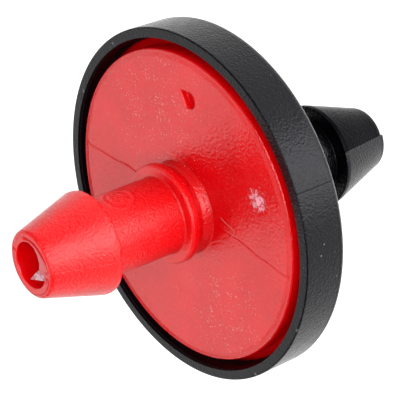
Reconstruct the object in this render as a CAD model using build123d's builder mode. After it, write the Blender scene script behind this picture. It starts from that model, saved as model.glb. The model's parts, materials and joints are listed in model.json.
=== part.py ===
from build123d import *
import os
from math import acos, cos, degrees, radians, sin

# Pressure-compensating drip emitter for a micro-irrigation line, in three pieces:
#   barbed_cup     shallow cup whose stem and barb push into a punched supply pipe
#   diaphragm      loose silicone disc that throttles the water as its pressure rises
#   outlet_cover   disc with a labyrinth underneath and a barbed stem for the dripper tube
# Millimetres.  +Z runs up the axis, the way the water goes.  The origin is on the axis, on the
# seat under the cup's hub, which comes down on the outside of the supply pipe.

# ---------------------------------------------------------------- driving dimensions
# cup
cup_diameter = 20.0
cup_depth = 2.65                # back face to rim
rim_width = 0.57                # flat ring round the mouth
floor_thickness = 0.75
cup_back_round = 0.30
cup_front_round = 0.08
seat_hub_radius = 2.80          # hub under the cup, which seats on the pipe
seat_hub_height = 1.00
seat_hub_fillet = 0.20

# inlet stem and barb
inlet_bore_radius = 1.10
inlet_neck_radius = 2.12
inlet_neck_length = 6.05        # seat to the barb's ledge
inlet_crest_radius = 3.00
inlet_cone_length = 4.20        # ledge to tip
inlet_tip_radius = 1.85
inlet_tip_round = 0.40
crest_land = 0.25               # short cylinder at the widest part of both barbs

# mouth of the cup and the snap bead that holds the cover down
mouth_lip = 0.10                # height of the plain lip above the relief groove
relief_width = 0.12
relief_depth = 0.10
bead_height = 0.18              # how far the bead stands in from the wall
bead_width = 0.30
snap_gap = 0.02                 # bead's shoulder to the cover's flange
flange_fit = 0.02               # radial gap between the flange and the cup's wall

# cover
mouth_gap = 0.59                # ring-shaped gap between the cup's lip and the cover's face
face_recess = 0.05              # the face lies this far below the rim
face_round = 0.12
flange_height = 0.70
skirt_width = 1.50              # wall that stands on the cup's floor round the diaphragm
hub_radius = 2.63
hub_height = 0.98
collar_radius = 2.80
collar_width = 0.52
collar_round = 0.16
hub_fillet = 0.10

# outlet stem and barb
outlet_bore_radius = 1.25
outlet_neck_radius = 2.17
outlet_neck_length = 4.66       # collar to the barb's ledge
outlet_crest_radius = 2.85
outlet_cone_length = 3.79       # ledge to tip
outlet_tip_radius = 1.80
outlet_tip_round = 0.28

# diaphragm and the room it moves in
diaphragm_thickness = 0.45
diaphragm_rim_gap = 0.15        # radial gap to the cover's skirt
diaphragm_travel = 0.12
rest_gap = 0.015                # left above and below the diaphragm at the ends of its travel
support_rib_height = 0.15
support_rib_width = 0.50
support_rib_count = 12
rib_inner_radius = 1.90
rib_end_gap = 0.80              # rib's outer end to the cover's skirt

# labyrinth under the cover
labyrinth_depth = 0.40
outer_land = 1.00               # sealing ring outside the channel
channel_width = 2.00
inner_land = 0.80               # sealing ring inside the channel
divider_angle = 16.0            # solid stretch between the channel's two ends, degrees
feed_angle = 30.0               # toothless bay where the filter slots open, degrees
exit_angle = 8.0                # toothless bay at the passage to the chamber, degrees
tooth_pitch = 1.45              # along the channel's middle, between teeth on one side
tooth_height = 1.15
tooth_root = 0.72
tooth_tip = 0.26
filter_slot_count = 5
filter_slot_width = 0.28
filter_slot_pitch = 0.56
slot_overrun = 0.10             # how far slots and teeth run into what they join
exit_width = 0.60               # passage from the channel's end to the regulating chamber
weir_width = 0.55               # ring round the outlet, which the diaphragm closes on
weir_drop = 0.10                # how far the weir's top lies below the sealing rings
weir_slit_width = 0.30
weir_slit_depth = 0.12

# marks on the face
mark_edge_gap = 2.13            # middle of both marks to the face's edge
index_angle = 88.8              # where the plain drop-shaped index recess lies, degrees
index_bulb_radius = 0.42        # the drop's round end
index_reach = 0.82              # middle of the round end to the drop's point
index_heading = 158.3           # which way the point lies, degrees
index_depth = 0.30
gate_angle = 29.0               # where the plastic was injected, degrees
gate_recess_radius = 0.80
gate_recess_depth = 0.06
gate_stub_radius = 0.30
gate_stub_height = 0.05

# ---------------------------------------------------------------- derived sizes
cup_radius = cup_diameter / 2
back_z = seat_hub_height
floor_z = back_z + floor_thickness
rim_z = back_z + cup_depth
wall_radius = cup_radius - rim_width
inlet_ledge_z = -inlet_neck_length
inlet_tip_z = inlet_ledge_z - inlet_cone_length

flange_radius = wall_radius - flange_fit
flange_top_z = floor_z + flange_height
bead_low_z = flange_top_z + snap_gap
skirt_inner_radius = flange_radius - skirt_width
face_radius = wall_radius - mouth_gap
face_z = rim_z - face_recess
mark_radius = face_radius - mark_edge_gap

rib_top_z = floor_z + support_rib_height
diaphragm_low_z = rib_top_z + rest_gap
land_z = diaphragm_low_z + diaphragm_thickness + diaphragm_travel + rest_gap
diaphragm_radius = skirt_inner_radius - diaphragm_rim_gap
rib_outer_radius = skirt_inner_radius - rib_end_gap

collar_low_z = face_z + hub_height
collar_top_z = collar_low_z + collar_width
outlet_ledge_z = collar_top_z + outlet_neck_length
outlet_tip_z = outlet_ledge_z + outlet_cone_length

channel_outer = skirt_inner_radius - outer_land
channel_inner = channel_outer - channel_width
channel_middle = (channel_outer + channel_inner) / 2
chamber_radius = channel_inner - inner_land
weir_radius = outlet_bore_radius + weir_width
toothed_angle = 360 - divider_angle - feed_angle - exit_angle
teeth_per_side = int(radians(toothed_angle) * channel_middle / tooth_pitch)
tooth_step = toothed_angle / teeth_per_side


def at(radius, angle):
    """The point at a radius and an angle in degrees."""
    return (radius * cos(radians(angle)), radius * sin(radians(angle)))


def ring_edges(part, radius, height):
    """The circular edges of one radius at one height."""
    return [
        edge
        for edge in part.edges().filter_by(GeomType.CIRCLE)
        if abs(edge.radius - radius) < 1e-4 and abs(edge.center(CenterOf.MASS).Z - height) < 1e-4
    ]


def tooth(root_radius, direction, angle):
    """A labyrinth tooth as a polygon in the current sketch.  Its root is sunk in the channel's
    wall, and direction is +1 for a tooth that points outwards and -1 for one that points in."""
    sunk = root_radius - direction * slot_overrun
    tip = root_radius + direction * tooth_height
    root_half = degrees(tooth_root / 2 / root_radius)
    tip_half = degrees(tooth_tip / 2 / tip)
    Polygon(
        at(sunk, angle - root_half),
        at(tip, angle - tip_half),
        at(tip, angle + tip_half),
        at(sunk, angle + root_half),
        align=None,
        mode=Mode.SUBTRACT,
    )


os.makedirs("parts", exist_ok=True)

# ---------------------------------------------------------------- barbed cup
with BuildPart() as barbed_cup:
    with BuildSketch(Plane.XZ):
        with BuildLine():
            Polyline(
                (inlet_bore_radius, inlet_tip_z),
                (inlet_tip_radius, inlet_tip_z),
                (inlet_crest_radius, inlet_ledge_z - crest_land),
                (inlet_crest_radius, inlet_ledge_z),
                (inlet_neck_radius, inlet_ledge_z),
                (inlet_neck_radius, 0),
                (seat_hub_radius, 0),
                (seat_hub_radius, back_z),
                (cup_radius, back_z),
                (cup_radius, rim_z),
                (wall_radius, rim_z),
                (wall_radius, rim_z - mouth_lip),
                (wall_radius + relief_depth, rim_z - mouth_lip),
                (wall_radius, rim_z - mouth_lip - relief_width),
                (wall_radius, bead_low_z + bead_width),
                (wall_radius - bead_height, bead_low_z + bead_width / 3),
                (wall_radius - bead_height, bead_low_z),
                (wall_radius, bead_low_z),
                (wall_radius, floor_z),
                (inlet_bore_radius, floor_z),
                close=True,
            )
        make_face()
    revolve(axis=Axis.Z)

    # ribs that hold the diaphragm off the floor, so that water can spread under it
    with BuildSketch(Plane.XY.offset(floor_z)):
        rib_length = rib_outer_radius - rib_inner_radius
        with PolarLocations(rib_inner_radius + rib_length / 2, support_rib_count):
            Rectangle(rib_length, support_rib_width)
    extrude(amount=support_rib_height)

    fillet(ring_edges(barbed_cup, inlet_tip_radius, inlet_tip_z), inlet_tip_round)
    fillet(ring_edges(barbed_cup, seat_hub_radius, back_z), seat_hub_fillet)
    fillet(ring_edges(barbed_cup, cup_radius, back_z), cup_back_round)
    fillet(ring_edges(barbed_cup, cup_radius, rim_z), cup_front_round)
barbed_cup.part.label = "barbed_cup"
export_step(barbed_cup.part, "parts/barbed_cup.step")

# ---------------------------------------------------------------- diaphragm
with BuildPart() as diaphragm:
    with BuildSketch(Plane.XY.offset(diaphragm_low_z)):
        Circle(diaphragm_radius)
    extrude(amount=diaphragm_thickness)
diaphragm.part.label = "diaphragm"
export_step(diaphragm.part, "parts/diaphragm.step")

# ---------------------------------------------------------------- outlet cover
index_x, index_y = at(mark_radius, index_angle)
# the drop's straight sides touch its round end this far, in degrees, from the line to its point
index_touch = degrees(acos(index_bulb_radius / index_reach))


def on_index(distance, heading):
    """The point at a distance and a heading from the middle of the index recess's round end."""
    x, y = at(distance, heading)
    return (index_x + x, index_y + y)


with BuildPart() as outlet_cover:
    with BuildSketch(Plane.XZ):
        with BuildLine():
            Polyline(
                (outlet_bore_radius, land_z),
                (skirt_inner_radius, land_z),
                (skirt_inner_radius, floor_z),
                (flange_radius, floor_z),
                (flange_radius, flange_top_z),
                (face_radius, flange_top_z),
                (face_radius, face_z),
                (hub_radius, face_z),
                (hub_radius, collar_low_z),
                (collar_radius, collar_low_z),
                (collar_radius, collar_top_z),
                (outlet_neck_radius, collar_top_z),
                (outlet_neck_radius, outlet_ledge_z),
                (outlet_crest_radius, outlet_ledge_z),
                (outlet_crest_radius, outlet_ledge_z + crest_land),
                (outlet_tip_radius, outlet_tip_z),
                (outlet_bore_radius, outlet_tip_z),
                close=True,
            )
        make_face()
    revolve(axis=Axis.Z)

    fillet(ring_edges(outlet_cover, outlet_tip_radius, outlet_tip_z), outlet_tip_round)
    fillet(ring_edges(outlet_cover, collar_radius, collar_top_z), collar_round)
    fillet(ring_edges(outlet_cover, hub_radius, face_z), hub_fillet)
    fillet(ring_edges(outlet_cover, face_radius, face_z), face_round)

    # labyrinth channel with its teeth, the filter slots that feed it and the passage out of it
    with BuildSketch(Plane.XY.offset(land_z)):
        Circle(channel_outer)
        Circle(channel_inner, mode=Mode.SUBTRACT)
        divider_half = divider_angle / 2
        Polygon(
            (0, 0),
            at(2 * channel_outer, -divider_half),
            at(2 * channel_outer, divider_half),
            align=None,
            mode=Mode.SUBTRACT,
        )
        for index in range(teeth_per_side):
            start = divider_half + feed_angle + index * tooth_step
            tooth(channel_outer, -1, start + tooth_step * 0.25)
            tooth(channel_inner, +1, start + tooth_step * 0.75)
        with Locations(Rotation(0, 0, divider_half + feed_angle / 2)):
            with Locations((channel_outer + outer_land / 2, 0)):
                with GridLocations(0, filter_slot_pitch, 1, filter_slot_count):
                    Rectangle(outer_land + 2 * slot_overrun, filter_slot_width)
        with Locations(Rotation(0, 0, -divider_half - exit_angle / 2)):
            with Locations((channel_inner - inner_land / 2, 0)):
                Rectangle(inner_land + 2 * slot_overrun, exit_width)
    extrude(amount=labyrinth_depth, mode=Mode.SUBTRACT)

    # regulating chamber round the weir
    with BuildSketch(Plane.XY.offset(land_z)):
        Circle(chamber_radius)
        Circle(weir_radius, mode=Mode.SUBTRACT)
    extrude(amount=labyrinth_depth, mode=Mode.SUBTRACT)
    with BuildSketch(Plane.XY.offset(land_z)):
        Circle(weir_radius)
    extrude(amount=weir_drop, mode=Mode.SUBTRACT)
    with BuildSketch(Plane.XY.offset(land_z)):
        with Locations((weir_radius - weir_width / 2, 0)):
            Rectangle(weir_width + 2 * slot_overrun, weir_slit_width)
    extrude(amount=weir_drop + weir_slit_depth, mode=Mode.SUBTRACT)

    # drop-shaped index recess in the face
    with BuildSketch(Plane.XY.offset(face_z)):
        with BuildLine():
            index_point = on_index(index_reach, index_heading)
            index_left = on_index(index_bulb_radius, index_heading + index_touch)
            index_far = on_index(index_bulb_radius, index_heading + 180)
            index_right = on_index(index_bulb_radius, index_heading - index_touch)
            Line(index_point, index_left)
            ThreePointArc(index_left, index_far, index_right)
            Line(index_right, index_point)
        make_face()
    extrude(amount=-index_depth, mode=Mode.SUBTRACT)

    # gate recess and the stub that was left when the sprue was cut off
    with BuildSketch(Plane.XY.offset(face_z)):
        with Locations(at(mark_radius, gate_angle)):
            Circle(gate_recess_radius)
            Circle(gate_stub_radius, mode=Mode.SUBTRACT)
    extrude(amount=-gate_recess_depth, mode=Mode.SUBTRACT)
    with BuildSketch(Plane.XY.offset(face_z - gate_recess_depth)):
        with Locations(at(mark_radius, gate_angle)):
            Circle(gate_stub_radius)
    extrude(amount=gate_recess_depth + gate_stub_height)
outlet_cover.part.label = "outlet_cover"
export_step(outlet_cover.part, "parts/outlet_cover.step")
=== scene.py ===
"""Drip emitter, the visual model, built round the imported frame.

The emitter is two mouldings and a silicone disc.  Each is one closed skin: an outline walked in the
radius-height half plane, carried round the axis on a fan of columns, and then worked over with marks,
mould lines and ribs.  Sizes are in millimetres until a piece is made, when they become metres.
"""

import json
import logging
from dataclasses import dataclass
from enum import Enum, IntEnum, auto
from typing import Callable

import bpy
import numpy as np
from mathutils import Matrix, Vector


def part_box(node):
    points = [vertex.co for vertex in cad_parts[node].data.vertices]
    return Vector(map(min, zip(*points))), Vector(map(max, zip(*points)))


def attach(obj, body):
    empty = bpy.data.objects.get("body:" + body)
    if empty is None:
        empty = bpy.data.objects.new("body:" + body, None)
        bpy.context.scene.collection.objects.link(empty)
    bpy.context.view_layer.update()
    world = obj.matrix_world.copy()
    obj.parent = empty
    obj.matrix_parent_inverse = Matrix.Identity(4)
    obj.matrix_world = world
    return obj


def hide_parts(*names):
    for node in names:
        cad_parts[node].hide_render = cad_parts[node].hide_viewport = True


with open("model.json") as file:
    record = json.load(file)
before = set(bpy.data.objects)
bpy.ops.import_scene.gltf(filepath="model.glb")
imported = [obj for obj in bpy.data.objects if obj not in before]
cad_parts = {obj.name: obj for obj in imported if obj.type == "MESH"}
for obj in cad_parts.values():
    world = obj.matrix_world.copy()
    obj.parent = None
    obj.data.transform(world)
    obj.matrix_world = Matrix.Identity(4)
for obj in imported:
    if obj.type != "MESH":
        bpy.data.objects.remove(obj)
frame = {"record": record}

LOG = logging.getLogger("drip_emitter")
Array = np.ndarray
MM = 0.001


# ---------------------------------------------------------------- small formulas
def smooth_step(low: float, high: float, value: Array) -> Array:
    """0 below low, 1 above high, and the cubic 3t^2 - 2t^3 between."""
    t = np.clip((value - low) / (high - low), 0, 1)
    return t * t * (3 - 2 * t)


def bell(distance: Array, half_width: float) -> Array:
    """1 in the middle, fading as exp(-(distance / half_width)^2)."""
    return np.exp(-((distance / half_width) ** 2))


def turn_from(middle: float, angle: Array) -> Array:
    """The signed turn in degrees from middle to angle, from -180 to 180."""
    return (angle - middle + 180) % 360 - 180


def ripple(x: Array, y: Array, wavelength: float, phase: float) -> Array:
    """Gentle unevenness from -1 to 1: the mean of six sine waves whose directions are a golden
    angle apart and whose lengths spread round the one that is given.

    Args:
        x, y: Places in the surface, in millimetres.
        wavelength: The middle wavelength, in millimetres.
        phase: Makes one ripple different from another.

    Returns:
        The unevenness at each place.
    """
    total = np.zeros(np.broadcast(x, y).shape)
    for number in range(6):
        heading = 2.4 * number + phase
        length = wavelength * (0.7 + 0.13 * number)
        total += np.sin(2 * np.pi * (x * np.cos(heading) + y * np.sin(heading)) / length + 5 * heading)
    return total / 6


# ---------------------------------------------------------------- outlines
class Zone(IntEnum):
    """The stretches of the outlines that details are worked into."""

    BORE = auto()
    TIP = auto()
    CONE = auto()
    CREST = auto()
    LEDGE = auto()
    NECK = auto()
    COLLAR = auto()
    HUB = auto()
    FACE = auto()
    SIDE = auto()
    SKIRT = auto()
    UNDER = auto()
    FLOOR = auto()
    WALL = auto()
    RIM = auto()
    BACK = auto()


@dataclass(frozen=True)
class Corner:
    """A corner of an outline, and the stretch that leaves it for the next corner.

    Args:
        radius, height: The corner, in millimetres.
        zone: What the stretch is.
        rows: Grid rows along the stretch.
        rounding: Radius of the arc that rounds the corner.
    """

    radius: float
    height: float
    zone: Zone
    rows: int = 1
    rounding: float = 0.0


@dataclass
class Rows:
    """The grid's rows: where each lies in the half plane, and its zone."""

    radius: Array
    height: Array
    zone: Array


def round_corner(before: Array, here: Array, after: Array, rounding: float) -> Array:
    """An arc that touches both sides of a corner.

    The touching points lie rounding / tan(half the corner) from it, and the arc's centre on the
    bisector, at rounding / sin(half the corner).  The arc's points swing evenly about the centre.

    Args:
        before, here, after: Three corners in a row, each (radius, height).
        rounding: The arc's radius; 0 keeps the corner sharp.

    Returns:
        The arc's points, or the corner alone.
    """
    if rounding == 0:
        return here[None, :]
    back = (before - here) / np.linalg.norm(before - here)
    ahead = (after - here) / np.linalg.norm(after - here)
    half = np.arccos(np.clip(back @ ahead, -1, 1)) / 2
    centre = here + (back + ahead) / np.linalg.norm(back + ahead) * rounding / np.sin(half)
    first = here + back * rounding / np.tan(half) - centre
    last = here + ahead * rounding / np.tan(half) - centre
    sweep = np.pi - 2 * half
    steps = max(2, round(sweep * (1.4 + 9 * rounding)))
    share = np.linspace(0, 1, steps + 1)[:, None]
    return centre + (np.sin((1 - share) * sweep) * first + np.sin(share * sweep) * last) / np.sin(sweep)


def trace(corners: list[Corner]) -> Rows:
    """Walks an outline clockwise, with the solid on the right, so that faces come out outwards.

    Rows bunch towards a stretch's ends as (1 - cos(pi t)) / 2, so a flat keeps its shading up to
    its edges.
    """
    spots = np.array([(corner.radius, corner.height) for corner in corners])
    turns = [
        round_corner(before, here, after, corner.rounding)
        for before, here, after, corner in zip(np.roll(spots, 1, 0), spots, np.roll(spots, -1, 0), corners)
    ]
    path, zones = [], []
    for turn, following, corner in zip(turns, turns[1:] + turns[:1], corners):
        share = (1 - np.cos(np.pi * np.arange(1, corner.rows) / corner.rows)) / 2
        stretch = turn[-1] + share[:, None] * (following[0] - turn[-1])
        path += [turn, stretch]
        zones += [corner.zone] * (len(turn) + len(stretch))
    places = np.concatenate(path)
    return Rows(places[:, 0], places[:, 1], np.array(zones))


# ---------------------------------------------------------------- fans of columns
@dataclass(frozen=True)
class Cluster:
    """A place on the round where columns stand closer together: gain times closer in the middle."""

    angle: float
    half_width: float
    gain: float


def no_flanks(radii: Array) -> Array:
    """The flank angles of a sector that has none."""
    return np.zeros((len(radii), 0))


@dataclass(frozen=True)
class Sector:
    """A part of the round whose steep flanks the columns follow.

    Args:
        start, stop: Where it begins and ends, in degrees.
        flanks: Gives, for each radius, the angles of its flanks in rising order.
    """

    start: float
    stop: float
    flanks: Callable[[Array], Array] = no_flanks


@dataclass
class Fan:
    """The grid's columns, shared out over the sectors of the full turn.

    Args:
        sectors: Side by side, and together one full turn.
        clusters: Where columns stand closer.
        total: How many columns there are, more or less.
        draft: Half the width of a steep flank, in degrees.
    """

    sectors: list[Sector]
    clusters: list[Cluster]
    total: int
    draft: float = 0.13

    def __post_init__(self) -> None:
        """Adds up the density of columns, 1 plus each cluster's gain times a flat-topped bell."""
        start = self.sectors[0].start
        self.samples = np.linspace(start, start + 360, 7201)
        density = np.ones_like(self.samples)
        for cluster in self.clusters:
            off = turn_from(cluster.angle, self.samples) / cluster.half_width
            density += cluster.gain * np.exp(-(off**4))
        self.running = np.concatenate([[0], np.cumsum((density[1:] + density[:-1]) / 2)])
        self.running /= self.running[-1]

    def share(self, sector: Sector) -> tuple[Array, int]:
        """The running density at a sector's ends, and its number of columns."""
        ends = np.interp([sector.start, sector.stop], self.samples, self.running)
        flank_count = sector.flanks(np.ones(1)).shape[1]
        return ends, max(2 * flank_count + 4, round(self.total * (ends[1] - ends[0])))

    def plain(self) -> Array:
        """The columns' angles where no flank holds them: even steps of the running density."""
        angles = []
        for sector in self.sectors:
            ends, count = self.share(sector)
            steps = np.linspace(*ends, count, endpoint=False)
            angles.append(np.interp(steps, self.running, self.samples))
        return np.concatenate(angles)

    def pinned(self, radii: Array) -> Array:
        """The columns' angles at each radius, where two columns straddle each flank and the rest
        spread evenly between flanks.

        Args:
            radii: One radius for each row.

        Returns:
            Angles, one row for each radius.
        """
        blocks = []
        for sector in self.sectors:
            count = self.share(sector)[1]
            flanks = sector.flanks(radii)
            number = flanks.shape[1]
            held = np.floor((np.arange(number) + 0.5) * count / max(number, 1)).astype(int)
            keys = np.concatenate([[0], np.stack([held, held + 1], 1).ravel(), [count]])
            pairs = np.stack([flanks - self.draft, flanks + self.draft], 2).reshape(len(radii), -1)
            ends = np.ones((len(radii), 1))
            marks = np.hstack([ends * sector.start, pairs, ends * sector.stop])
            blocks.append(np.array([np.interp(np.arange(count), keys, row) for row in marks]))
        return np.hstack(blocks)


# ---------------------------------------------------------------- skins and pieces
def skin(points: Array, capped: bool = False) -> tuple[Array, list[list[int]]]:
    """Joins a grid of points into a closed skin.

    Columns always close on themselves.  Rows close too, as on a ring, unless the skin is capped,
    when a point in the middle of the first row and one in the middle of the last close its ends.

    Args:
        points: rows x columns x 3.
        capped: Whether the ends are closed by caps.

    Returns:
        The vertices and the faces.
    """
    rows, columns = points.shape[:2]
    index = np.arange(rows * columns).reshape(rows, columns)
    low, high = (index[:-1], index[1:]) if capped else (index, np.roll(index, -1, 0))
    quads = np.stack([low, high, np.roll(high, -1, 1), np.roll(low, -1, 1)], -1).reshape(-1, 4)
    vertices, faces = points.reshape(-1, 3), quads.tolist()
    if capped:
        poles = np.array([points[0].mean(0), points[-1].mean(0)])
        vertices = np.concatenate([vertices, poles])
        first, last = rows * columns, rows * columns + 1
        start, end = index[0], index[-1]
        faces += np.stack([np.full(columns, first), start, np.roll(start, -1)], 1).tolist()
        faces += np.stack([end, np.full(columns, last), np.roll(end, -1)], 1).tolist()
    return vertices, faces


def tube(path: Array, width: Array, height: Array, sides: int) -> Array:
    """A strand of elliptical section: path + width cos(t) + height sin(t) as t goes round.

    Args:
        path, width, height: Points and half axes along the strand, each n x 3.
        sides: Columns round the section.

    Returns:
        Points, n x sides x 3.
    """
    t = np.linspace(0, 2 * np.pi, sides, endpoint=False)[None, :, None]
    return path[:, None] + width[:, None] * np.cos(t) + height[:, None] * np.sin(t)


def make_piece(name: str, points: Array, material: bpy.types.Material, body: str,
               capped: bool = False) -> bpy.types.Object:
    """Makes a piece from a grid in millimetres, dresses it and puts it on its body.

    Args:
        name: The piece's name.
        points: rows x columns x 3, in millimetres.
        material: Its finish.
        body: The body it rides on.
        capped: Whether the ends are closed by caps.

    Returns:
        The new object.
    """
    vertices, faces = skin(points * MM, capped)
    mesh = bpy.data.meshes.new(name)
    mesh.from_pydata(vertices.tolist(), [], faces)
    mesh.polygons.foreach_set("use_smooth", np.ones(len(mesh.polygons), bool))
    mesh.materials.append(material)
    mesh.update()
    piece = bpy.data.objects.new(name, mesh)
    bpy.context.scene.collection.objects.link(piece)
    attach(piece, body)
    LOG.info("%s: %d faces on %s", name, len(faces), body)
    return piece


def span(node: str) -> tuple[Vector, Vector]:
    """A node's lowest and highest corners, in millimetres."""
    low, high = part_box(node)
    return low / MM, high / MM


def mount(name: str) -> dict:
    """A mount of the record, by its name."""
    return next(entry for entry in frame["record"]["mounts"] if entry["name"] == name)


# ---------------------------------------------------------------- finishes
@dataclass
class NodeSheet:
    """A material's nodes, with short ways to add and join them."""

    name: str

    def __post_init__(self) -> None:
        """Makes an empty material with a principled shader and its output."""
        self.material = bpy.data.materials.new(self.name)
        self.material.use_nodes = True
        self.tree = self.material.node_tree
        self.tree.nodes.clear()
        output = self.add("ShaderNodeOutputMaterial")
        self.shader = self.add("ShaderNodeBsdfPrincipled")
        self.tree.links.new(self.shader.outputs["BSDF"], output.inputs["Surface"])
        self.place = self.add("ShaderNodeTexCoord").outputs["Object"]

    def add(self, kind: str, **settings: object) -> bpy.types.Node:
        """Adds a node and sets its properties."""
        node = self.tree.nodes.new(kind)
        for key, value in settings.items():
            setattr(node, key, value)
        return node

    def join(self, source: object, target: object) -> None:
        """Feeds a socket from another socket, or sets it to a value."""
        if isinstance(source, bpy.types.NodeSocket):
            self.tree.links.new(source, target)
        else:
            target.default_value = source

    def sum(self, operation: str, *sources: object, clamp: bool = False) -> bpy.types.NodeSocket:
        """The result of a maths node on sockets or values."""
        node = self.add("ShaderNodeMath", operation=operation, use_clamp=clamp)
        for source, target in zip(sources, node.inputs):
            self.join(source, target)
        return node.outputs[0]

    def moved(self, centre: tuple[float, float, float], turn: float = 0.0) -> bpy.types.NodeSocket:
        """Object coordinates seen from a centre in millimetres and turned about Z, in degrees."""
        node = self.add("ShaderNodeMapping", vector_type="TEXTURE")
        node.inputs["Location"].default_value = Vector(centre) * MM
        node.inputs["Rotation"].default_value = (0, 0, np.radians(turn))
        self.join(self.place, node.inputs["Vector"])
        return node.outputs["Vector"]

    def split(self, place: bpy.types.NodeSocket) -> list[bpy.types.NodeSocket]:
        """The three coordinates of a place."""
        node = self.add("ShaderNodeSeparateXYZ")
        self.join(place, node.inputs[0])
        return list(node.outputs)

    def length(self, place: bpy.types.NodeSocket) -> bpy.types.NodeSocket:
        """The distance of a place from its centre, in metres."""
        node = self.add("ShaderNodeVectorMath", operation="LENGTH")
        self.join(place, node.inputs[0])
        return node.outputs["Value"]

    def from_axis(self) -> bpy.types.NodeSocket:
        """The distance from the Z axis, in metres."""
        x, y, _ = self.split(self.place)
        squares = self.sum("MULTIPLY_ADD", x, x, self.sum("MULTIPLY", y, y))
        return self.sum("SQRT", squares)

    def noise(self, grain: float, detail: float = 2.0, rough: float = 0.5,
              place: object = None) -> bpy.types.NodeSocket:
        """Noise whose lumps are about a grain across, in millimetres."""
        node = self.add("ShaderNodeTexNoise")
        node.inputs["Scale"].default_value = 1 / (grain * MM)
        node.inputs["Detail"].default_value = detail
        node.inputs["Roughness"].default_value = rough
        self.join(place or self.place, node.inputs["Vector"])
        return node.outputs["Fac"]

    def cells(self, pitch: float, feature: str = "F1") -> bpy.types.NodeSocket:
        """The distance to the nearest of scattered points that lie about a pitch apart."""
        node = self.add("ShaderNodeTexVoronoi", feature=feature)
        node.inputs["Scale"].default_value = 1 / (pitch * MM)
        self.join(self.place, node.inputs["Vector"])
        return node.outputs["Distance"]

    def ramp(self, value: object, low: float, high: float, out_low: float = 0.0,
             out_high: float = 1.0) -> bpy.types.NodeSocket:
        """Carries low...high of a value smoothly to out_low...out_high."""
        node = self.add("ShaderNodeMapRange", interpolation_type="SMOOTHSTEP")
        for source, target in zip((value, low, high, out_low, out_high), node.inputs):
            self.join(source, target)
        return node.outputs[0]

    def mix(self, share: object, first: object, second: object) -> bpy.types.NodeSocket:
        """A colour between two, the second's share being given."""
        node = self.add("ShaderNodeMix", data_type="RGBA")
        for source, target in zip((share, first, second), (node.inputs[0], node.inputs[6], node.inputs[7])):
            self.join(source, target)
        return node.outputs[2]

    def bump(self, height: object, depth: float, under: object = None) -> bpy.types.NodeSocket:
        """Turns a height of 0...1 into a bump of a depth in millimetres, on top of another."""
        node = self.add("ShaderNodeBump")
        node.inputs["Strength"].default_value = 1.0
        node.inputs["Distance"].default_value = depth * MM
        self.join(height, node.inputs["Height"])
        if under is not None:
            self.join(under, node.inputs["Normal"])
        return node.outputs["Normal"]

    def set(self, **values: object) -> None:
        """Sets the shader's sockets, with _ for a space in their names."""
        for key, value in values.items():
            self.join(value, self.shader.inputs[key.replace("_", " ")])


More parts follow.
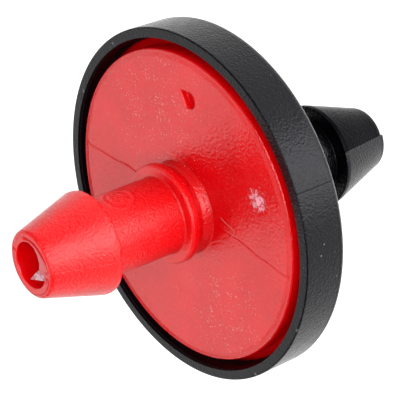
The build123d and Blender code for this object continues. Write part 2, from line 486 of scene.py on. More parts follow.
@dataclass(frozen=True)
class RedPlastic:
    """Glossy red polypropylene with pale specks, partly fine dust and partly painted glints, eroded texture
    on the stem and a pale patch: the gate scar on the cover, a painted glint on the bore's film.

    Args:
        name: The material's name.
        deep, light: The two colours that the pigment drifts between.
        dust, scar_and_glint: Colours of the specks, dust and painted glints, and of the pale patch: torn
            plastic at the gate on the cover, a painted glint on the bore's film.
        grain: Lumps of the eroded texture on the stem, in millimetres.
        gate: Middle of the pale patch, in millimetres: the gate on the cover, the spot of the painted glint
            on the bore's film.
        face: Height of the face, in millimetres.
        glow: How much light travels inside the plastic.
        crinkle_depth, ripple_depth: Depth of the texture on the stem and elsewhere, in millimetres.
        recess_shade_gloss, open_gloss: Gloss in the recesses, cut low as painted shade, and on the open
            faces.
        dust_and_glint_drifts: Middles and radii of the two places where the specks, dust and painted glints,
            gather, in millimetres.
    """

    name: str = "red_polypropylene"
    deep: tuple[float, float, float, float] = (0.68, 0.0, 0.002, 1)
    light: tuple[float, float, float, float] = (0.76, 0.001, 0.004, 1)
    dust: tuple[float, float, float, float] = (1.0, 0.45, 0.38, 1)
    scar_and_glint: tuple[float, float, float, float] = (1.0, 0.40, 0.47, 1)
    grain: float = 0.13
    gate: tuple[float, float, float] = (0, 0, 0)
    face: float = 3.6
    glow: float = 0.45
    crinkle_depth: float = 0.052
    ripple_depth: float = 0.046
    recess_shade_gloss: float = 0.08
    open_gloss: float = 0.50
    dust_and_glint_drifts: tuple[tuple[tuple[float, float, float], float], ...] = (((0, 0, 0), 1.1), ((0, 0, 0), 1.1))

    def make(self) -> bpy.types.Material:
        """Builds the material."""
        sheet = NodeSheet(self.name)
        height = sheet.split(sheet.place)[2]
        on_stem = sheet.ramp(height, (self.face + 0.8) * MM, (self.face + 1.6) * MM)

        drift = sheet.ramp(sheet.noise(2.5), 0.3, 0.7)
        pigment = sheet.mix(drift, self.deep, self.light)

        # Pale specks on the face, partly fine dust and partly painted glints, gathered in two drifts and
        # sparse on the stem.
        crowd = sheet.ramp(sheet.noise(0.9, 3, 0.6), 0.30, 0.64)
        dust_and_glint_drifts = [sheet.ramp(sheet.length(sheet.moved(place)), 1.0 * MM, reach * MM, 1.0, 0.0)
                  for place, reach in self.dust_and_glint_drifts]
        dust_and_glint_part = sheet.sum("MULTIPLY_ADD", sheet.sum("ADD", *dust_and_glint_drifts, clamp=True), 0.85, 0.15)
        crowd = sheet.sum("MULTIPLY", crowd, dust_and_glint_part)
        coarse = sheet.sum("LESS_THAN", sheet.cells(0.28), sheet.sum("MULTIPLY_ADD", crowd, 0.20, 0.01))
        grains = sheet.sum("LESS_THAN", sheet.cells(0.16), sheet.sum("MULTIPLY_ADD", crowd, 0.22, 0.05))
        on_face = sheet.ramp(height, (self.face - 0.06) * MM, (self.face - 0.02) * MM)
        specks = sheet.sum("MULTIPLY", sheet.sum("MAXIMUM", coarse, grains), on_face)
        dust_and_glint_share = sheet.sum("MULTIPLY", specks, sheet.ramp(on_stem, 0.0, 1.0, 0.52, 0.08))
        dusted = sheet.mix(dust_and_glint_share, pigment, self.dust)

        # The pale patch: torn plastic of the gate scar on the cover; on the bore's film it is a painted
        # glint.
        away = sheet.length(sheet.moved(self.gate))
        thinning = sheet.ramp(away, 0.1 * MM, 1.3 * MM, -0.06, 0.30)
        torn = sheet.ramp(sheet.sum("SUBTRACT", sheet.noise(0.24, 5, 0.6), thinning), 0.40, 0.56)
        inside = sheet.ramp(away, 0.8 * MM, 1.3 * MM, 0.85, 0.0)
        scar_and_glint = sheet.sum("MULTIPLY", inside, torn)
        colour = sheet.mix(scar_and_glint, dusted, self.scar_and_glint)

        crinkle = sheet.noise(self.grain, 3, 0.55)
        outside = sheet.ramp(sheet.from_axis(), 1.35 * MM, 1.60 * MM)
        stippled = sheet.sum("MULTIPLY", on_stem, outside)
        relief = sheet.bump(sheet.sum("MULTIPLY", crinkle, stippled), self.crinkle_depth)
        off_stem = sheet.sum("SUBTRACT", 1.0, on_stem)
        orange_peel = sheet.sum("MULTIPLY", sheet.noise(0.17, 3), off_stem)
        relief = sheet.bump(orange_peel, self.ripple_depth, relief)
        relief = sheet.bump(sheet.noise(0.05, 2), 0.003, relief)
        relief = sheet.bump(scar_and_glint, 0.04, relief)
        relief = sheet.bump(specks, 0.006, relief)

        worn = sheet.ramp(sheet.noise(0.8, 4), 0.35, 0.75, 0.18, 0.28)
        # Gloss is cut low below the face, the drop included: painted shade that keeps reflections out of the
        # recesses.
        above = sheet.ramp(height, (self.face - 0.10) * MM, (self.face - 0.045) * MM)
        banded = sheet.ramp(height, (self.face - 0.15) * MM, (self.face - 0.115) * MM)
        outer = sheet.ramp(sheet.from_axis(), 8.0 * MM, 8.2 * MM)
        open_skin = sheet.sum("MAXIMUM", above, sheet.sum("MULTIPLY", banded, outer))
        gloss = sheet.ramp(open_skin, 0.0, 1.0, self.recess_shade_gloss, self.open_gloss)
        sheet.set(
            Base_Color=colour,
            Roughness=worn,
            IOR=1.50,
            Specular_IOR_Level=gloss,
            Subsurface_Weight=self.glow,
            Subsurface_Radius=(1.0, 0.03, 0.03),
            Subsurface_Scale=1.8 * MM,
            Normal=relief,
        )
        return sheet.material


@dataclass(frozen=True)
class BlackPlastic:
    """Carbon black polypropylene with a spark-eroded skin, and a barb whose upper mould half is smoother and
    has almost no gloss, a painted shade that darkens that half.

    Args:
        deep, light: The two blacks that the skin drifts between.
        dust: Colour of the specks.
        grain: Lumps of the eroded texture, in millimetres.
        line: Angle of the mould's parting plane, in degrees.
        barb: Height below which the halves differ, in millimetres.
        scuff, scuffs: Colour of the nicks' torn edges, and where they are, in millimetres.
        texture_depth: Depth of the eroded texture, in millimetres.
        gloss, shaded_half_gloss: Gloss in general, and the near-zero gloss on one half of the barb, which is
            painted shade.
    """

    deep: tuple[float, float, float, float] = (0.0009, 0.0009, 0.0014, 1)
    light: tuple[float, float, float, float] = (0.0022, 0.0021, 0.0031, 1)
    dust: tuple[float, float, float, float] = (0.12, 0.115, 0.11, 1)
    grain: float = 0.15
    line: float = 30.0
    barb: float = -6.0
    scuff: tuple[float, float, float, float] = (0.16, 0.155, 0.15, 1)
    scuffs: tuple[tuple[float, float, float], ...] = ((0, 0, 0),)
    texture_depth: float = 0.034
    gloss: float = 0.20
    shaded_half_gloss: float = 0.02

    def make(self) -> bpy.types.Material:
        """Builds the material."""
        sheet = NodeSheet("black_polypropylene")
        across = sheet.split(sheet.moved((0, 0, 0), self.line))[1]
        height = sheet.split(sheet.place)[2]
        below = sheet.ramp(height, (self.barb + 0.1) * MM, (self.barb - 0.1) * MM)
        upper = sheet.ramp(across, -0.01 * MM, 0.01 * MM)
        # One half of the barb: smoother, and with its gloss cut almost to nothing as painted shade.
        polished_and_shaded = sheet.sum("MULTIPLY", below, upper)

        drift = sheet.ramp(sheet.noise(1.5, 3), 0.3, 0.7)
        skin_black = sheet.mix(drift, self.deep, self.light)
        crowd = sheet.ramp(sheet.noise(3.0), 0.5, 0.75)
        specks = sheet.sum("LESS_THAN", sheet.cells(0.55), sheet.sum("MULTIPLY", crowd, 0.09))
        dusted = sheet.mix(specks, skin_black, self.dust)
        scuffs = [sheet.ramp(sheet.length(sheet.moved(place)), 0.16 * MM, 0.05 * MM, 0.0, 1.0)
                  for place in self.scuffs]
        while len(scuffs) > 1:
            scuffs = [sheet.sum("MAXIMUM", *scuffs[:2]), *scuffs[2:]]
        scuffed = sheet.sum("MULTIPLY", scuffs[0], sheet.ramp(sheet.noise(0.09), 0.40, 0.56))
        colour = sheet.mix(scuffed, dusted, self.scuff)

        lumps = sheet.noise(self.grain, 3, 0.6)
        pits = sheet.ramp(sheet.cells(self.grain * 0.8, "SMOOTH_F1"), 0.1, 0.7)
        texture = sheet.sum("ADD", sheet.sum("MULTIPLY", lumps, 0.7), sheet.sum("MULTIPLY", pits, 0.3))
        relief = sheet.bump(texture, self.texture_depth)
        relief = sheet.bump(specks, 0.006, relief)

        rough = sheet.ramp(sheet.noise(0.6, 3), 0.3, 0.7, 0.20, 0.28)
        sheet.set(
            Base_Color=colour,
            Roughness=sheet.sum("MULTIPLY_ADD", polished_and_shaded, -0.08, rough),
            IOR=1.49,
            Specular_Tint=(0.94, 0.93, 1.0, 1),
            # Near-zero gloss on one half of the barb is painted shade.
            Specular_IOR_Level=sheet.ramp(polished_and_shaded, 0.0, 1.0, self.gloss, self.shaded_half_gloss),
            Normal=relief,
        )
        return sheet.material


@dataclass(frozen=True)
class Silicone:
    """Milky silicone rubber with faint flow clouds and a matt skin.

    Args:
        milk, cloud: The two whites that the rubber drifts between.
    """

    milk: tuple[float, float, float, float] = (0.72, 0.71, 0.67, 1)
    cloud: tuple[float, float, float, float] = (0.80, 0.79, 0.76, 1)

    def make(self) -> bpy.types.Material:
        """Builds the material."""
        sheet = NodeSheet("milky_silicone")
        clouds = sheet.ramp(sheet.noise(2.0, 3), 0.3, 0.7)
        colour = sheet.mix(clouds, self.milk, self.cloud)
        relief = sheet.bump(sheet.noise(0.12, 2), 0.004)
        rough = sheet.ramp(sheet.noise(0.5, 2), 0.3, 0.7, 0.42, 0.55)
        sheet.set(
            Base_Color=colour,
            Roughness=rough,
            IOR=1.41,
            Subsurface_Weight=0.25,
            Subsurface_Radius=(0.9 * MM, 0.8 * MM, 0.7 * MM),
            Subsurface_Scale=1.0,
            Normal=relief,
        )
        return sheet.material


@dataclass(frozen=True)
class LightTable:
    """The plain pale floor: matt white acrylic that glows evenly, lit from below.

    Args:
        white, skin: The colour of its glow, and of its skin.
        glow: How brightly it glows.
    """

    white: tuple[float, float, float, float] = (0.95, 0.95, 0.95, 1)
    skin: tuple[float, float, float, float] = (0.50, 0.50, 0.50, 1)
    glow: float = 1.06

    def make(self) -> bpy.types.Material:
        """Builds the material."""
        sheet = NodeSheet("pale_floor")
        sheet.set(
            Base_Color=self.skin,
            Roughness=0.9,
            Emission_Color=self.white,
            Emission_Strength=self.glow,
        )
        return sheet.material


# ---------------------------------------------------------------- the outlet cover
@dataclass
class Labyrinth:
    """The flow path moulded under the cover: a ring channel between two rows of teeth, fed through
    slots and emptying into the chamber round the weir.  All in millimetres and degrees."""

    outer_wall: float
    depth: float = 0.40
    outer_land: float = 1.00
    channel_width: float = 2.00
    inner_land: float = 0.80
    divider_angle: float = 16.0
    feed_angle: float = 30.0
    exit_angle: float = 8.0
    tooth_pitch: float = 1.45
    tooth_height: float = 1.15
    tooth_root: float = 0.72
    tooth_tip: float = 0.26
    slot_count: int = 5
    slot_width: float = 0.28
    slot_pitch: float = 0.56
    exit_width: float = 0.60
    bore_radius: float = 1.25
    weir_width: float = 0.55
    weir_drop: float = 0.10
    slit_width: float = 0.30
    slit_depth: float = 0.12
    wall_draft: float = 0.015

    def __post_init__(self) -> None:
        """Works out the radii of the walls and the step of the teeth."""
        self.channel_outer = self.outer_wall - self.outer_land
        self.channel_inner = self.channel_outer - self.channel_width
        self.chamber = self.channel_inner - self.inner_land
        self.weir = self.bore_radius + self.weir_width
        self.outer_tips = self.channel_outer - self.tooth_height
        self.inner_tips = self.channel_inner + self.tooth_height
        self.first_tooth = self.divider_angle / 2 + self.feed_angle
        toothed = 360 - self.divider_angle - self.feed_angle - self.exit_angle
        middle = (self.channel_outer + self.channel_inner) / 2
        self.teeth = int(np.radians(toothed) * middle / self.tooth_pitch)
        self.step = toothed / self.teeth

    def half_teeth(self, radii: Array) -> tuple[Array, Array]:
        """Half the angle that an outer and an inner tooth cover at each radius: straight from root
        to tip."""
        root, tip = self.tooth_root / 2, self.tooth_tip / 2
        outer = np.interp(radii, [self.outer_tips, self.channel_outer],
                          [tip / self.outer_tips, root / self.channel_outer])
        inner = np.interp(radii, [self.channel_inner, self.inner_tips],
                          [root / self.channel_inner, tip / self.inner_tips])
        return np.degrees(outer), np.degrees(inner)

    def tooth_flanks(self, start: float) -> Callable[[Array], Array]:
        """The flanks of one step, which holds an outer tooth at a quarter and an inner tooth at
        three quarters of it."""
        def flanks(radii: Array) -> Array:
            """Four angles for each radius."""
            outer, inner = self.half_teeth(radii)
            first, second = start + self.step / 4, start + self.step * 3 / 4
            return np.stack([first - outer, first + outer, second - inner, second + inner], 1)
        return flanks

    def slot_flanks(self, radii: Array) -> Array:
        """The sides of the parallel filter slots: asin(offset / radius) from the feed's middle."""
        middles = (np.arange(self.slot_count) - (self.slot_count - 1) / 2) * self.slot_pitch
        sides = np.stack([middles - self.slot_width / 2, middles + self.slot_width / 2], 1).ravel()
        reach = np.maximum(radii, self.chamber)[:, None]
        feed_middle = self.divider_angle / 2 + self.feed_angle / 2
        return feed_middle + np.degrees(np.arcsin(sides[None, :] / reach))

    def divider_flanks(self, radii: Array) -> Array:
        """The divider's two sides and, between them, the sides of the weir's slit."""
        slit = np.degrees(np.arcsin(self.slit_width / 2 / radii))
        side = np.full(len(radii), self.divider_angle / 2)
        return np.stack([-side, -slit, slit, side], 1)

    def exit_flanks(self, radii: Array) -> Array:
        """The sides of the passage from the channel's end to the chamber."""
        reach = np.maximum(radii, self.chamber)
        half = np.degrees(np.arcsin(self.exit_width / 2 / reach))
        middle = 360 - self.divider_angle / 2 - self.exit_angle / 2
        return np.stack([middle - half, middle + half], 1)

    def sectors(self) -> list[Sector]:
        """The sectors of the full turn, from the divider round to the exit."""
        margin = 1.0
        edge = self.divider_angle / 2 + margin
        steps = [self.first_tooth + self.step * number for number in range(self.teeth)]
        last = 360 - edge
        return [
            Sector(-edge, edge, self.divider_flanks),
            Sector(edge, self.first_tooth, self.slot_flanks),
            *[Sector(start, start + self.step, self.tooth_flanks(start)) for start in steps],
            Sector(steps[-1] + self.step, last, self.exit_flanks),
        ]

    def radii(self) -> list[float]:
        """The radii of the rows under the cover, inwards, with a close pair at every wall."""
        walls = [self.channel_outer, self.inner_tips, self.outer_tips, self.channel_inner,
                 self.chamber, self.weir]
        stops = [self.outer_wall - self.wall_draft]
        for wall in walls:
            stops += [(stops[-1] + wall) / 2, wall + self.wall_draft, wall - self.wall_draft]
        return stops + [(self.weir + self.bore_radius) / 2]

    def height(self, radius: Array, angle: Array) -> Array:
        """How far the surface lies above the sealing rings, at each place under the cover."""
        angle = angle % 360
        half_divider = self.divider_angle / 2
        outer, inner = self.half_teeth(radius)
        local = (angle - self.first_tooth) % self.step
        toothed = (angle > self.first_tooth) & (angle < self.first_tooth + self.step * self.teeth)
        tooth = toothed & (
            ((abs(local - self.step / 4) < outer) & (radius > self.outer_tips))
            | ((abs(local - self.step * 3 / 4) < inner) & (radius < self.inner_tips))
        )
        channel = (radius < self.channel_outer) & (radius > self.channel_inner)
        channel &= (angle > half_divider) & (angle < 360 - half_divider) & ~tooth

        across = radius * np.sin(np.radians(turn_from(half_divider + self.feed_angle / 2, angle)))
        nearest = np.round(across / self.slot_pitch) * self.slot_pitch
        slots = (abs(across - nearest) < self.slot_width / 2) & (radius >= self.channel_outer)
        slots &= abs(across) < self.slot_pitch * self.slot_count / 2
        slots &= abs(turn_from(half_divider + self.feed_angle / 2, angle)) < 90

        sideways = radius * np.sin(np.radians(angle + half_divider + self.exit_angle / 2))
        passage = (abs(sideways) < self.exit_width / 2) & (angle > 270)
        passage &= (radius > self.chamber) & (radius <= self.channel_inner)

        chamber = (radius < self.chamber) & (radius > self.weir)
        weir = radius <= self.weir
        slit = weir & (abs(radius * np.sin(np.radians(angle))) < self.slit_width / 2)
        slit &= np.cos(np.radians(angle)) > 0
        open_water = channel | slots | passage | chamber
        return self.depth * open_water + self.weir_drop * weir + self.slit_depth * slit


@dataclass
class OutletCover:
    """The red moulding: face, hub, collar, barbed stem and, underneath, the labyrinth.

    Heights and the widest radii come from the frame; the rest are the moulding's own sizes, in
    millimetres and degrees.
    """

    mouth_radius: float
    rim_height: float
    floor_height: float
    face_recess: float = 0.05
    mouth_gap: float = 0.59
    face_round: float = 0.12
    flange_height: float = 0.70
    flange_slope: float = 0.28
    skirt_width: float = 1.50
    land_height: float = 2.50
    hub_radius: float = 2.63
    hub_height: float = 0.98
    hub_taper: float = 0.17
    hub_foot: float = 0.52
    collar_radius: float = 2.80
    collar_round: float = 0.16
    bore_radius: float = 1.25
    neck_radius: float = 2.17
    tip_radius: float = 1.80
    tip_round: float = 0.28
    crest_land: float = 0.25
    mark_edge_gap: float = 2.13
    index_angle: float = 88.8
    index_bulb: float = 0.42
    index_reach: float = 0.82
    index_heading: float = 158.3
    index_depth: float = 0.34
    index_inset: float = 0.15
    ridge_height: float = 0.006
    band_fall: float = 0.105
    halves_step: float = 0.012
    seam_depth: float = 0.030
    seam_extra: float = 0.028
    swell_height: float = 0.004
    ejector_height_gain: float = 0.035
    crescent_depth: float = 0.10
    notch_depth: float = 0.05
    nick_depth: float = 0.08
    index_slope: float = 0.1
    index_low_side: float = 219.0
    gate_angle: float = 29.0
    gate_radius: float = 0.80
    gate_depth: float = 0.06
    stub_radius: float = 0.30
    stub_height: float = 0.05
    ejector_height: float = 8.08
    ejector_angle: float = 88.0
    ejector_radius: float = 0.82
    line_offset: float = 0.32
    ridge_inset: float = 0.42
    columns: int = 385

    def __post_init__(self) -> None:
        """Reads the frame and works out the derived sizes."""
        high = span("outlet_cover")[1]
        barb = mount("outlet_barb")
        self.tip_height = high.z
        self.flange_radius = high.x
        self.crest_radius = barb["dims"]["r_mm"]
        self.ledge_height = barb["pos_m"][2] / MM - barb["dims"]["length_mm"] / 2
        self.collar_height = mount("tube_stop")["pos_m"][2] / MM
        self.face_height = self.rim_height - self.face_recess
        self.face_radius = self.mouth_radius - self.mouth_gap
        self.mark_radius = self.face_radius - self.mark_edge_gap
        self.skirt_inner = self.flange_radius - self.skirt_width
        self.labyrinth = Labyrinth(self.skirt_inner)
        self.fan = Fan(
            self.labyrinth.sectors(),
            [
                Cluster(0, 3, 4), Cluster(180, 3, 4),
                Cluster(self.index_angle, 9, 2.6), Cluster(self.gate_angle, 8, 1.6),
            ],
            self.columns,
        )

    def around(self, radius: float, angle: float) -> tuple[float, float]:
        """The point at a radius and an angle."""
        return radius * np.cos(np.radians(angle)), radius * np.sin(np.radians(angle))

    def gate(self) -> tuple[float, float, float]:
        """The middle of the gate, on the face."""
        return (*self.around(self.mark_radius, self.gate_angle), self.face_height)

    def outline(self) -> list[Corner]:
        """The cover's outline, clockwise from the bottom of the bore."""
        face, collar_low = self.face_height, self.face_height + self.hub_height
        flange_top = self.floor_height + self.flange_height
        near_marks, past_marks = self.mark_radius - 1.0, self.mark_radius + 0.9
        return [
            Corner(self.bore_radius, self.land_height + self.labyrinth.weir_drop, Zone.BORE, 9, 0.02),
            Corner(self.bore_radius, self.tip_height, Zone.TIP, 12, 0.06),
            Corner(self.tip_radius, self.tip_height, Zone.CONE, 12, self.tip_round),
            Corner(self.crest_radius, self.ledge_height + self.crest_land, Zone.CREST, 1, 0.12),
            Corner(self.crest_radius, self.ledge_height, Zone.LEDGE, 3, 0.06),
            Corner(self.neck_radius, self.ledge_height, Zone.NECK, 5, 0.05),
            Corner(self.neck_radius, self.ejector_height + 1.0, Zone.NECK, 22),
            Corner(self.neck_radius, self.ejector_height - 1.0, Zone.NECK, 7),
            Corner(self.neck_radius, self.collar_height, Zone.COLLAR, 3, 0.08),
            Corner(self.collar_radius, self.collar_height, Zone.COLLAR, 3, self.collar_round),
            Corner(self.collar_radius, collar_low, Zone.COLLAR, 2, 0.04),
            Corner(self.hub_radius - self.hub_taper, collar_low, Zone.HUB, 4, 0.03),
            Corner(self.hub_radius - self.hub_taper, face + self.hub_foot, Zone.HUB, 10, 0.10),
            Corner(self.hub_radius + 0.03, face, Zone.FACE, 8, 0.05),
            Corner(near_marks, face, Zone.FACE, 42),
            Corner(past_marks, face, Zone.FACE, 6),
            Corner(self.face_radius - self.ridge_inset, face, Zone.FACE, 6),
            Corner(self.face_radius, face, Zone.SIDE, 3, self.face_round),
            Corner(self.face_radius, flange_top, Zone.SKIRT, 3, 0.05),
            Corner(self.flange_radius, flange_top - self.flange_slope, Zone.SKIRT, 2, 0.04),
            Corner(self.flange_radius, self.floor_height, Zone.SKIRT, 3, 0.06),
            Corner(self.skirt_inner, self.floor_height, Zone.SKIRT, 3, 0.06),
            Corner(self.skirt_inner, self.land_height, Zone.UNDER),
            *[Corner(radius, self.land_height, Zone.UNDER) for radius in self.labyrinth.radii()],
        ]

    def line_height(self, radius: Array) -> Array:
        """How far the mould's parting line stands off the X axis: its whole offset near the hub,
        a third of it at the face's edge, and a little wandering."""
        wander = 0.03 * np.sin(2.9 * radius) * smooth_step(3.0, 4.0, radius)
        return self.line_offset * (1 - 0.67 * smooth_step(4.6, 7.4, radius)) + wander

    def lean(self, radius: Array, plain: Array) -> Array:
        """The turn, in degrees, that carries the columns at 0 and 180 onto the parting line and
        dies away as a squared cosine over forty degrees either side."""
        turn = np.degrees(np.arcsin(self.line_height(radius) / np.maximum(radius, self.tip_radius)))
        near = np.cos(np.radians(np.clip(turn_from(0, plain) * 2.25, -90, 90))) ** 2
        far = np.cos(np.radians(np.clip(turn_from(180, plain) * 2.25, -90, 90))) ** 2
        return turn * (near - far)

    def index_distance(self, x: Array, y: Array) -> Array:
        """The signed distance to the drop: the hull of its round end and its point.

        Seen along the drop's own axis, a place belongs to the round end, to the point, or to the
        straight side between them, whichever its foot falls on.
        """
        middle = self.around(self.mark_radius - self.index_inset, self.index_angle)
        ahead = self.around(1, self.index_heading)
        along = (x - middle[0]) * ahead[0] + (y - middle[1]) * ahead[1]
        aside = abs((y - middle[1]) * ahead[0] - (x - middle[0]) * ahead[1])
        lean = self.index_bulb / self.index_reach
        level = np.sqrt(1 - lean**2)
        foot = level * along - lean * aside
        return np.select(
            [foot < 0, foot > level * self.index_reach],
            [np.hypot(along, aside) - self.index_bulb, np.hypot(along - self.index_reach, aside)],
            lean * along + level * aside - self.index_bulb,
        )

    def points(self) -> Array:
        """The cover's grid, worked over zone by zone."""
        rows = trace(self.outline())
        plain = self.fan.plain()[None, :]
        radius = np.repeat(rows.radius[:, None], plain.shape[1], 1)
        height = np.repeat(rows.height[:, None], plain.shape[1], 1)
        zone = rows.zone[:, None]

        under = (rows.zone == Zone.UNDER).astype(float)
        skirt, bore = rows.zone == Zone.SKIRT, rows.zone == Zone.BORE
        under[skirt] = np.linspace(0, 1, skirt.sum() + 2)[1:-1]
        under[bore] = np.linspace(1, 0, bore.sum() + 2)[1:-1]
        outer = plain + self.lean(radius, plain)
        angle = outer + under[:, None] * (self.fan.pinned(rows.radius) - outer)
        x, y = radius * np.cos(np.radians(angle)), radius * np.sin(np.radians(angle))

        # the mould's two halves: how far each place stands off the parting line, and which half
        off_line = radius * np.sin(np.radians(plain))
        upper = smooth_step(-0.03, 0.03, off_line)
        seam = bell(off_line, 0.055)

        height += (zone == Zone.UNDER) * self.labyrinth.height(radius, angle)
        height += (zone == Zone.FACE) * self.face_marks(radius, x, y, seam, upper)
        radius += self.stem_marks(zone, radius, height, angle, seam, upper)
        height += (zone == Zone.TIP) * self.tip_marks(radius, angle, seam)
        x, y = radius * np.cos(np.radians(angle)), radius * np.sin(np.radians(angle))
        return np.stack([x, y, height], -1)

    def face_marks(self, radius: Array, x: Array, y: Array, seam: Array, upper: Array) -> Array:
        """What the face's height gains from its recesses, gate scar, parting line and edge band."""
        inside = -self.index_distance(x, y)
        middle = self.around(self.mark_radius - self.index_inset, self.index_angle)
        slope_x, slope_y = self.around(self.index_slope, self.index_low_side)
        sunk = 1 + slope_x * (x - middle[0]) + slope_y * (y - middle[1])
        drop = smooth_step(-0.05, 0.03, inside) * sunk
        gate_x, gate_y, _ = self.gate()
        away = np.hypot(x - gate_x, y - gate_y)
        recess = smooth_step(self.gate_radius + 0.1, 0.2, away)
        stub = smooth_step(self.stub_radius + 0.1, self.stub_radius - 0.1, away)
        torn = 1 + 0.5 * ripple(x, y, 0.35, 1.0)
        rises = stub * (self.gate_depth + self.stub_height) * torn - self.gate_depth * recess
        band = self.face_radius - self.ridge_inset
        ridge = self.ridge_height * bell(radius - band, 0.09)
        bevel = -self.band_fall * np.clip((radius - band) / self.ridge_inset, 0, 1)
        line = smooth_step(self.hub_radius + 0.3, self.hub_radius + 0.7, radius)
        seam_depth = self.seam_depth + self.seam_extra * (x < 0)
        mould = line * (self.halves_step * upper - seam_depth * seam)
        swell = self.swell_height * ripple(x, y, 5.0, 0.3)
        return rises - self.index_depth * drop + ridge + bevel + mould + swell

    def stem_marks(self, zone: Array, radius: Array, height: Array, angle: Array, seam: Array,
                   upper: Array) -> Array:
        """What the stem's radius gains from the mould halves, their seam, the hub's ridges and the
        ejector's ring on the neck."""
        stem = np.isin(zone, [Zone.CONE, Zone.CREST, Zone.NECK])
        hub = zone == Zone.HUB
        gain = stem * (0.016 * (upper - 0.5) + 0.012 * seam)
        gain += hub * (0.045 * (upper - 0.5) + 0.01 * seam)
        low = height - self.face_height
        torn = 1 + 0.45 * ripple(radius * np.radians(angle), height, 0.5, 0.7)
        gain += hub * upper * torn * 0.018 * bell(low - 0.34, 0.05)
        across = self.neck_radius * np.radians(turn_from(self.ejector_angle, angle))
        away = np.hypot(across, height - self.ejector_height)
        ring = bell(away - self.ejector_radius, 0.08) + 0.7 * bell(away - 0.5 * self.ejector_radius, 0.07)
        gain += (zone == Zone.NECK) * self.ejector_height_gain * ring
        return gain

    def tip_marks(self, radius: Array, angle: Array, seam: Array) -> Array:
        """What the tip's height gains from the crescent groove round the lip, the notch where the
        mould halves meet and a small nick."""
        middle = 1.44 + 0.20 * smooth_step(60, 0, angle % 360)
        crescent = smooth_step(75, 50, abs(turn_from(52, angle)))
        groove = -self.crescent_depth * crescent * bell(radius - middle, 0.045)
        notch = -self.notch_depth * seam
        nick = -self.nick_depth * bell(turn_from(112, angle), 6) * bell(radius - 1.45, 0.05)
        return groove + notch + nick

    def mouth_film(self) -> Array:
        """The feather of flash that the core pin left across the mouth of the bore.

        It is a strand along the right of the lip, whose section is a flat ellipse from the bore's
        wall to the film's free edge.
        """
        wall_angle = np.radians([100, 80, 60, 35, 12, -3, -10, -14])
        wall = (self.bore_radius + 0.03) * np.stack([np.cos(wall_angle), np.sin(wall_angle)], 1)
        free = np.array([(-0.20, 1.22), (0.22, 1.10), (0.48, 0.86), (0.68, 0.46), (0.68, 0.08),
                         (0.26, -0.42), (-0.05, -0.84), (-0.10, -0.92)])
        t = np.linspace(0, 1, 40)
        keys = np.linspace(0, 1, len(wall))
        outer = np.stack([np.interp(t, keys, wall[:, axis]) for axis in (0, 1)], 1)
        inner = np.stack([np.interp(t, keys, free[:, axis]) for axis in (0, 1)], 1)
        level = np.full((len(t), 1), self.tip_height - 0.07)
        path = np.hstack([(outer + inner) / 2, level])
        width = np.hstack([(outer - inner) / 2, 0 * level])
        thick = np.repeat([[0, 0, 0.016]], len(t), 0)
        return tube(path, -width, thick, 16)

    def trim_curl(self) -> Array:
        """A hair of trimmed plastic that lies on the face beside the parting line: a fine round
        strand along a smooth curve through a few points."""
        stops = np.array([(3.18, 0.96), (3.76, 0.80), (4.16, 0.74), (4.39, 0.60), (4.22, 0.36), (3.94, 0.12)])
        keys = np.linspace(0, 1, len(stops))
        t = np.linspace(0, 1, 48)
        flat = np.stack([np.polyval(np.polyfit(keys, stops[:, axis], 4), t) for axis in (0, 1)], 1)
        path = np.hstack([flat, np.full((len(t), 1), self.face_height + 0.02)])
        ahead = np.gradient(path, axis=0)
        side = np.cross(ahead, [0, 0, 1.0])
        side /= np.linalg.norm(side, axis=1)[:, None]
        thin = 0.030 * np.sqrt(np.clip(1 - (2 * t - 1) ** 6, 0.01, 1))[:, None]
        return tube(path, side * thin, np.array([[0, 0, 1.0]]) * thin, 10)

    def build(self, material: bpy.types.Material, film: bpy.types.Material,
              curl: bpy.types.Material) -> None:
        """Makes the cover and the two bits of flash on it."""
        cover = make_piece("outlet_cover_moulding", self.points(), material, "housing")
        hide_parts("outlet_cover")
        make_piece("bore_flash_film", self.mouth_film(), film, "housing", capped=True)
        make_piece("face_trim_curl", self.trim_curl(), curl, "housing", capped=True)


